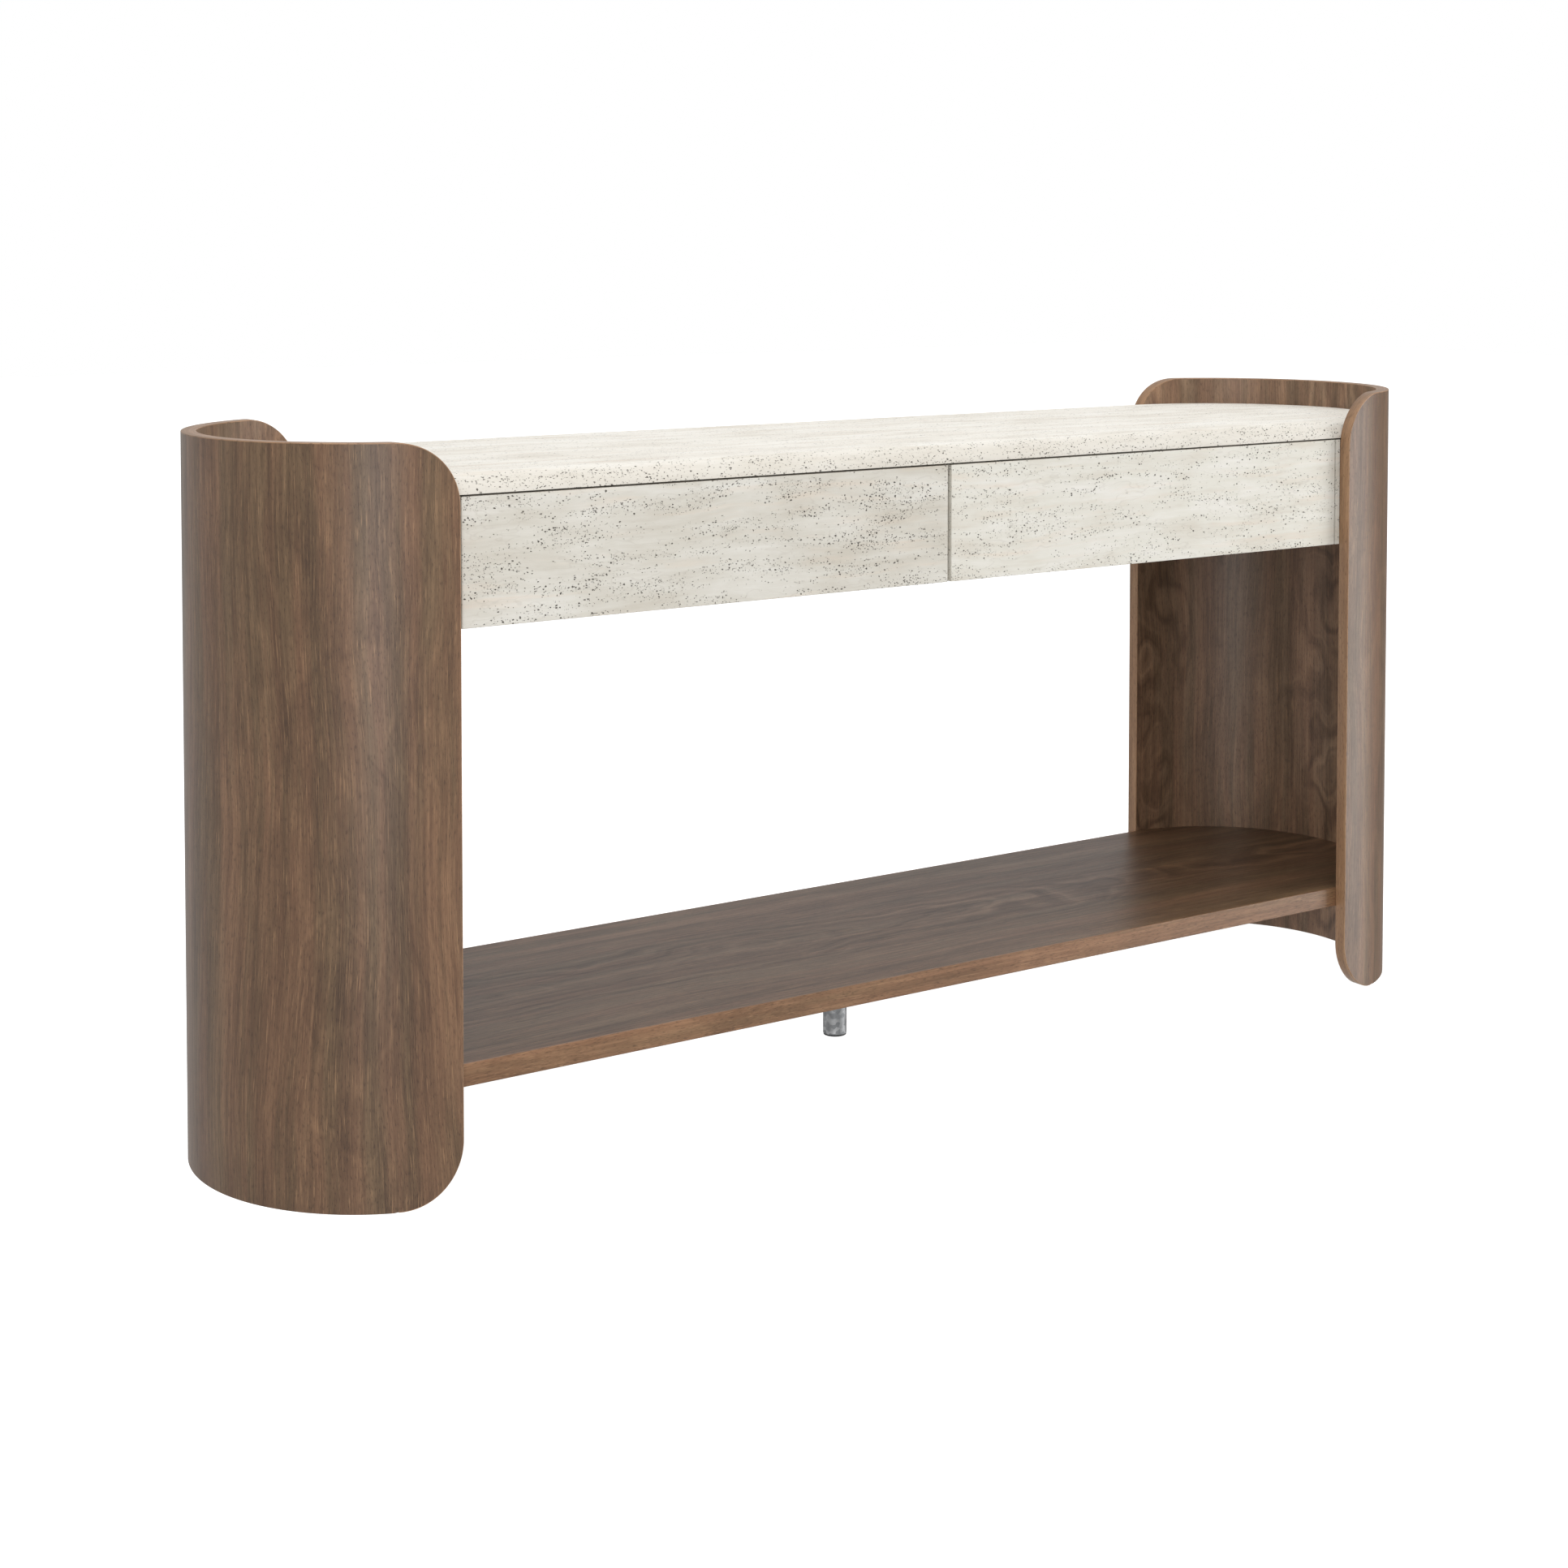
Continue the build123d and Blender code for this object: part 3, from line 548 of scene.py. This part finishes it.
def side_panel(name, side, shift):
    """The bent panel inside its edging: two developed faces and the band that joins them."""
    path = whole_path(EDGING_T)
    count = len(path)
    points, faces, maps = [], [], []
    grids = {}
    for face_at, radius in (("outer", OUTER_R), ("inner", INNER_R)):
        start = len(points)
        for station, front in path:
            x, y, _ = panel_point(station, radius, side, front)
            for step in range(END_STEPS + 1):
                z = station[3] + (station[2] - station[3]) * step / END_STEPS
                points.append((x, y, z))
        grids[face_at] = start

    def at(face_at, column, row):
        return grids[face_at] + column * (END_STEPS + 1) + row

    def lie(face_at, column, row):
        station, front = path[column]
        _, _, turn = panel_point(station, OUTER_R if face_at == "outer" else INNER_R, side, front)
        z = points[at(face_at, column, row)][2]
        leaf = 0 if face_at == "outer" else INNER_LEAF
        return LEAF_R * turn * side + shift + leaf, z + shift * LOG_STEP

    for face_at in ("outer", "inner"):
        outwards = (face_at == "outer") == (side > 0)
        for column in range(count - 1):
            for row in range(END_STEPS):
                ring = [(column + right, row + up)
                        for right, up in ((0, 0), (1, 0), (1, 1), (0, 1))]
                if not outwards:
                    ring.reverse()
                faces.append([at(face_at, c, r) for c, r in ring])
                maps.append([lie(face_at, c, r) for c, r in ring])
    rim = ([(c, END_STEPS) for c in range(count)]
           + [(count - 1, r) for r in range(END_STEPS - 1, -1, -1)]
           + [(c, 0) for c in range(count - 2, -1, -1)]
           + [(0, r) for r in range(1, END_STEPS)])
    for here, there in zip(rim, rim[1:] + rim[:1]):
        ring = [("outer", *here), ("outer", *there), ("inner", *there), ("inner", *here)]
        if side < 0:
            ring.reverse()
        faces.append([at(*corner) for corner in ring])
        maps.append([lie(*corner) for corner in ring])
    half = (len(faces) - len(rim)) // 2
    kinds = [0] * half + [1] * half + [0] * len(rim)
    return make_mesh(name, points, faces, maps, (walnut_outside, walnut_inside_painted_light), kinds)


def panel_edging(name, side, shift):
    """Edging along the free ends and over the top, its outer corners eased to a small round."""
    section = [(EDGING_T, OUTER_R)]
    for step in range(EASING_STEPS + 1):
        turn = math.pi / 2 * step / EASING_STEPS
        section.append((EASING_R * (1 - math.sin(turn)),
                        OUTER_R - EASING_R * (1 - math.cos(turn))))
    section += [(inset, OUTER_R + INNER_R - radius) for inset, radius in reversed(section)]
    paths = [whole_path(inset) for inset, _ in section]
    last = len(paths[0]) - 1
    # up from the floor at the front, over the top, and down to the floor at the back
    walk = ([("low", CORNER_STEPS - s) for s in range(CORNER_STEPS + 1)]
            + [("end", s / END_STEPS) for s in range(1, END_STEPS)]
            + [("top", c) for c in range(last + 1)]
            + [("end_back", 1 - s / END_STEPS) for s in range(1, END_STEPS)]
            + [("low", last - s) for s in range(CORNER_STEPS + 1)])
    points, travel = [], [0.0]
    for where, spot in walk:
        for (inset, radius), path in zip(section, paths):
            column = {"end": 0, "end_back": last}.get(where, spot)
            rise = {"low": 0, "top": 1}.get(where, spot)
            station, front = path[column]
            x, y, _ = panel_point(station, radius, side, front)
            points.append((x, y, station[3] + (station[2] - station[3]) * rise))
    wide = len(section)
    middle = wide // 2
    for step in range(1, len(walk)):
        travel.append(travel[-1] + (Vector(points[step * wide + middle])
                                    - Vector(points[(step - 1) * wide + middle])).length)
    faces, maps = [], []
    for step in range(len(walk) - 1):
        for i in range(wide):
            j = (i + 1) % wide
            ring = [(step, i), (step + 1, i), (step + 1, j), (step, j)]
            if side < 0:
                ring.reverse()
            faces.append([s * wide + k for s, k in ring])
            maps.append([(section[k][1] + shift, travel[s] + shift) for s, k in ring])
    for step, turned in ((0, side > 0), (len(walk) - 1, side < 0)):
        ring = [(step, k) for k in (range(wide) if turned else range(wide - 1, -1, -1))]
        faces.append([s * wide + k for s, k in ring])
        maps.append([(section[k][1] + shift, travel[s] + shift) for s, k in ring])
    return make_mesh(name, points, faces, maps, (walnut_edging,), [0] * len(faces))


for side_name, side, shift in (("left", -1, 1.31), ("right", 1, 8.05)):
    panel = side_panel(f"{side_name}_panel_veneered", side, shift)
    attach(panel, "table")
    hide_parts(f"{side_name}_side_panel")
    edging = panel_edging(f"{side_name}_panel_edging_eased", side, shift)
    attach(edging, "table")
    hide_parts(f"{side_name}_panel_edging")

# ---------------------------------------------------------------- screws and bumpers
HEAD_R, HEAD_H, SHANK_R = 3.6 * MM, 1.3 * MM, 2.0 * MM
RECESS_TOP_R, RECESS_R, RECESS_H, RECESS_OUT = 1.35 * MM, 1.5 * MM, 1.3 * MM, 0.5 * MM
POINT_L, THREAD_R, THREAD_PITCH, CORE_SHARE = 2.5 * MM, 0.46 * MM, 1.6 * MM, 0.74
BUMPER_R, BUMPER_H = 2.75 * MM, 1.15 * MM
CORE_SIDES, TURNED_STEPS = 14, 9


def loose_parts(node):
    """The corners of each separate part in a CAD node."""
    mesh = nodes[node].data
    keys = [tuple(round(c, 6) for c in v.co) for v in mesh.vertices]
    leader = {key: key for key in keys}

    def lead(key):
        while leader[key] != key:
            leader[key] = leader[leader[key]]
            key = leader[key]
        return key

    for polygon in mesh.polygons:
        first = lead(keys[polygon.vertices[0]])
        for corner in polygon.vertices[1:]:
            leader[lead(keys[corner])] = first
    parts = {}
    for key in sorted(leader):
        parts.setdefault(lead(key), []).append(Vector(key))
    return [parts[key] for key in sorted(parts)]


def seat_of(corners, along):
    """The middle of a turned part's wide end, the way it points from there, and its length."""
    low = Vector([min(c[i] for c in corners) for i in range(3)])
    high = Vector([max(c[i] for c in corners) for i in range(3)])
    middle, length = (low + high) / 2, high[along] - low[along]
    spread = {}
    for end in (low, high):
        near = [c - middle for c in corners if abs(c[along] - end[along]) < length * 0.05]
        spread[end[along]] = max(c.length_squared - c[along] ** 2 for c in near)
    start = max(spread, key=spread.get)
    seat, aim = middle.copy(), Vector((0, 0, 0))
    seat[along] = start
    aim[along] = 1.0 if start == low[along] else -1.0
    return seat, aim, length


def sized_tree(name, sizes):
    """A Geometry Nodes tree with named sizes and a finish, and its group input."""
    tree = bpy.data.node_groups.new(name, "GeometryNodeTree")
    tree.interface.new_socket("Geometry", in_out="INPUT", socket_type="NodeSocketGeometry")
    for title in sizes:
        tree.interface.new_socket(title, in_out="INPUT", socket_type="NodeSocketFloat")
    tree.interface.new_socket("Finish", in_out="INPUT", socket_type="NodeSocketMaterial")
    tree.interface.new_socket("Geometry", in_out="OUTPUT", socket_type="NodeSocketGeometry")
    return tree, add(tree, "NodeGroupInput").outputs


def set_out(tree, given, part):
    """Ends a tree: one part at each point, turned to its aim, made real, with its finish."""
    aim = add(tree, "GeometryNodeInputNamedAttribute", {"Name": "aim"}, data_type="FLOAT_VECTOR")
    turn = add(tree, "FunctionNodeAlignRotationToVector", {"Vector": aim}, axis="Z")
    placed = add(tree, "GeometryNodeInstanceOnPoints", {
        "Points": given["Geometry"], "Instance": part, "Rotation": turn})
    real = add(tree, "GeometryNodeRealizeInstances", {"Geometry": placed})
    done = add(tree, "GeometryNodeSetMaterial", {"Geometry": real, "Material": given["Finish"]})
    add(tree, "NodeGroupOutput", {"Geometry": done})


def turned(tree, length, radius_at_start, radius, bend, sides):
    """A turned end: its radius swells from a share at the start to the whole, along a curve."""
    line = add(tree, "GeometryNodeCurvePrimitiveLine", {
        "Start": (0, 0, 0), "End": add(tree, "ShaderNodeCombineXYZ", {"Z": length})})
    line = add(tree, "GeometryNodeResampleCurve", {"Curve": line, "Count": TURNED_STEPS})
    gone = add(tree, "GeometryNodeSplineParameter").outputs["Factor"]
    left = add(tree, "ShaderNodeMath", {0: 1.0, 1: gone}, operation="SUBTRACT")
    left = add(tree, "ShaderNodeMath", {0: left, 1: bend}, operation="POWER")
    share = add(tree, "ShaderNodeMath", {0: left, 1: radius_at_start - 1.0, 2: 1.0},
                operation="MULTIPLY_ADD")
    size = add(tree, "ShaderNodeMath", {0: share, 1: radius}, operation="MULTIPLY")
    ring = add(tree, "GeometryNodeCurvePrimitiveCircle", {"Resolution": sides, "Radius": 1.0})
    return add(tree, "GeometryNodeCurveToMesh", {
        "Curve": line, "Profile Curve": ring, "Scale": size, "Fill Caps": True})


def screw_tree():
    """A pan-head screw: domed head with a six-sided recess, core, point and a rolled thread."""
    tree, given = sized_tree("pan_head_screw", (
        "Head radius", "Head height", "Shank radius", "Shank length", "Thread pitch"))
    head = turned(tree, given["Head height"], 0.5, given["Head radius"], 3.0, 24)
    recess = add(tree, "GeometryNodeMeshCone", {
        "Vertices": 6, "Radius Top": RECESS_TOP_R, "Radius Bottom": RECESS_R, "Depth": RECESS_H})
    recess = add(tree, "GeometryNodeTransform", {
        "Geometry": recess, "Translation": (0, 0, -RECESS_OUT)})
    head = add(tree, "GeometryNodeMeshBoolean", {0: head, 1: recess}, operation="DIFFERENCE")
    core_r = add(tree, "ShaderNodeMath", {0: given["Shank radius"], 1: CORE_SHARE},
                 operation="MULTIPLY")
    core_l = add(tree, "ShaderNodeMath", {0: given["Shank length"], 1: POINT_L},
                 operation="SUBTRACT")
    core = add(tree, "GeometryNodeMeshCone", {
        "Vertices": CORE_SIDES, "Radius Top": core_r, "Radius Bottom": core_r, "Depth": core_l})
    point = add(tree, "GeometryNodeMeshCone", {
        "Vertices": CORE_SIDES, "Radius Top": 0.0, "Radius Bottom": core_r, "Depth": POINT_L})
    tip_at = add(tree, "ShaderNodeMath", {0: given["Head height"], 1: core_l}, operation="ADD")
    turns = add(tree, "ShaderNodeMath", {0: core_l, 1: given["Thread pitch"]}, operation="DIVIDE")
    helix = add(tree, "GeometryNodeCurveSpiral", {
        "Resolution": CORE_SIDES, "Rotations": turns, "Start Radius": core_r, "End Radius": core_r,
        "Height": core_l})
    ridge = add(tree, "GeometryNodeCurvePrimitiveCircle", {"Resolution": 3, "Radius": THREAD_R})
    thread = add(tree, "GeometryNodeCurveToMesh",
                 {"Curve": helix, "Profile Curve": ridge, "Fill Caps": True})
    joined = add(tree, "GeometryNodeJoinGeometry")
    for part, rise in ((head, None), (core, given["Head height"]), (point, tip_at),
                       (thread, given["Head height"])):
        if rise is not None:
            part = add(tree, "GeometryNodeTransform", {
                "Geometry": part, "Translation": add(tree, "ShaderNodeCombineXYZ", {"Z": rise})})
        tree.links.new(part.outputs[0], joined.inputs[0])
    set_out(tree, given, joined)
    return tree


def bumper_tree():
    """A small clear dome that a closing drawer front meets."""
    tree, given = sized_tree("drawer_bumper", ("Radius", "Height"))
    set_out(tree, given, turned(tree, given["Height"], 0.35, given["Radius"], 2.4, 28))
    return tree


def grow(name, node, tree, sizes, finish, seats):
    """Runs a tree over the seats and keeps the result as a plain mesh in place of a CAD node."""
    start = bpy.data.meshes.new(name)
    start.from_pydata([seat for seat, _ in seats], [], [])
    aims = start.attributes.new("aim", "FLOAT_VECTOR", "POINT")
    aims.data.foreach_set("vector", [value for _, aim in seats for value in aim])
    seed = bpy.data.objects.new(f"{name}_seats", start)
    bpy.context.scene.collection.objects.link(seed)
    grower = seed.modifiers.new("grow", "NODES")
    grower.node_group = tree
    sizes = {**sizes, "Finish": finish}
    for item in tree.interface.items_tree:
        if item.in_out == "INPUT" and item.name in sizes:
            grower[item.identifier] = sizes[item.name]
    seed.update_tag()
    grown = seed.evaluated_get(bpy.context.evaluated_depsgraph_get())
    mesh = bpy.data.meshes.new_from_object(grown)
    mesh.name = name
    mesh.polygons.foreach_set("use_smooth", [True] * len(mesh.polygons))
    mesh.set_sharp_from_angle(angle=SHARP)
    bpy.data.objects.remove(seed)
    piece = bpy.data.objects.new(name, mesh)
    bpy.context.scene.collection.objects.link(piece)
    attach(piece, nodes[node]["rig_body"])
    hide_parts(node)
    return piece


pan_head_screw, clear_dome = screw_tree(), bumper_tree()
for node in [name for name in nodes if name.endswith("_screws")]:
    found = []
    for corners in loose_parts(node):
        spans = [max(c[i] for c in corners) - min(c[i] for c in corners) for i in range(3)]
        found.append(seat_of(corners, spans.index(max(spans))))
    screws = grow(f"{node}_turned", node, pan_head_screw, {
        "Head radius": HEAD_R, "Head height": HEAD_H, "Shank radius": SHANK_R,
        "Shank length": found[0][2] - HEAD_H, "Thread pitch": THREAD_PITCH},
        zinc_screw, [(seat, aim) for seat, aim, _ in found])
bumper_seats = []
for corners in loose_parts("drawer_bumpers"):
    low = Vector([min(c[i] for c in corners) for i in range(3)])
    high = Vector([max(c[i] for c in corners) for i in range(3)])
    # the dome's small end meets the drawer front, and its wide end is stuck to the case
    bumper_seats.append((Vector(((low.x + high.x) / 2, low.y, (low.z + high.z) / 2)),
                         Vector((0, 1, 0))))
bumpers = grow("drawer_bumpers_domed", "drawer_bumpers", clear_dome,
               {"Radius": BUMPER_R, "Height": BUMPER_H}, clear_bumper, bumper_seats)

# ---------------------------------------------------------------- floor and studio light
floor_finish, tree, skin = new_finish("pale studio floor, lit from below", **{
    "Emission Color": (1.0, 1.0, 1.0, 1.0)})
seen = add(tree, "ShaderNodeLightPath")
tree.links.new(seen.outputs["Is Camera Ray"], skin.inputs["Emission Strength"])
place = add(tree, "ShaderNodeTexCoord").outputs["Object"]
grit = add(tree, "ShaderNodeTexNoise", {"Vector": place, "Scale": 60.0, "Detail": 3.0})
tint = add(tree, "ShaderNodeValToRGB", {"Fac": grit.outputs[0]},
           stops=((0.3, "#acacac"), (0.7, "#b0b0b0")))
shine = add(tree, "ShaderNodeMapRange", {"Value": grit.outputs[0], "To Min": 0.9, "To Max": 1.0})
dress(tree, skin, tint, shine, grit, 0.00002)
floor_mesh = bpy.data.meshes.new("studio_floor")
FLOOR_REACH, FLOOR_Z = 14.0, -0.0002
floor_mesh.from_pydata([(x * FLOOR_REACH, y * FLOOR_REACH, FLOOR_Z)
                        for x, y in ((-1, -1), (1, -1), (1, 1), (-1, 1))], [], [(0, 1, 2, 3)])
floor_mesh.materials.append(floor_finish)
floor = bpy.data.objects.new("studio_floor", floor_mesh)
bpy.context.scene.collection.objects.link(floor)
floor.visible_diffuse = floor.visible_glossy = floor.visible_shadow = False

world = bpy.data.worlds.new("studio")
bpy.context.scene.world = world
world.use_nodes = True
world.node_tree.nodes.clear()
seen = add(world.node_tree, "ShaderNodeLightPath")
# the room is a little darker in the gap between the light boxes on the right
GAP, ROOM_LEVEL, GAP_LEVEL, BACKDROP_LEVEL = math.radians(98), 0.62, 0.12, 1.0
facing = add(world.node_tree, "ShaderNodeVectorMath", {
    0: add(world.node_tree, "ShaderNodeTexCoord").outputs["Generated"],
    1: (math.sin(GAP), -math.cos(GAP), 0.0)}, operation="DOT_PRODUCT").outputs["Value"]
level = add(world.node_tree, "ShaderNodeMapRange", {
    "Value": facing, "From Min": 0.88, "From Max": 0.97,
    "To Min": ROOM_LEVEL, "To Max": GAP_LEVEL})
room = add(world.node_tree, "ShaderNodeBackground", {"Color": (1, 1, 1, 1), "Strength": level})
backdrop = add(world.node_tree, "ShaderNodeBackground",
               {"Color": (1, 1, 1, 1), "Strength": BACKDROP_LEVEL})
both = add(world.node_tree, "ShaderNodeMixShader",
           {0: seen.outputs["Is Camera Ray"], 1: room, 2: backdrop})
add(world.node_tree, "ShaderNodeOutputWorld", {"Surface": both})

AIM_Z = 0.45                 # the lamps look at the table's middle
# name, azimuth and elevation in degrees as seen from the table, distance, width, height, power
LAMPS = (
    ("tall_strip_front_left", -39, 13, 2.6, 0.65, 2.4, 24),
    ("wide_box_front_right", 61, 4, 2.9, 1.2, 2.8, 42),
    ("overhead", 20, 84, 2.8, 3.4, 2.4, 36),
)
for name, azimuth, elevation, distance, wide, high, power in LAMPS:
    around, above = math.radians(azimuth), math.radians(elevation)
    out = Vector((math.sin(around) * math.cos(above), -math.cos(around) * math.cos(above),
                  math.sin(above)))
    lamp = bpy.data.objects.new(name, bpy.data.lights.new(name, "AREA"))
    lamp.data.shape = "RECTANGLE"
    lamp.data.size, lamp.data.size_y = wide, high
    lamp.data.energy = power
    lamp.location = Vector((0, 0, AIM_Z)) + out * distance
    lamp.rotation_euler = out.to_track_quat("Z", "Y").to_euler()
    lamp.visible_camera = False
    bpy.context.scene.collection.objects.link(lamp)
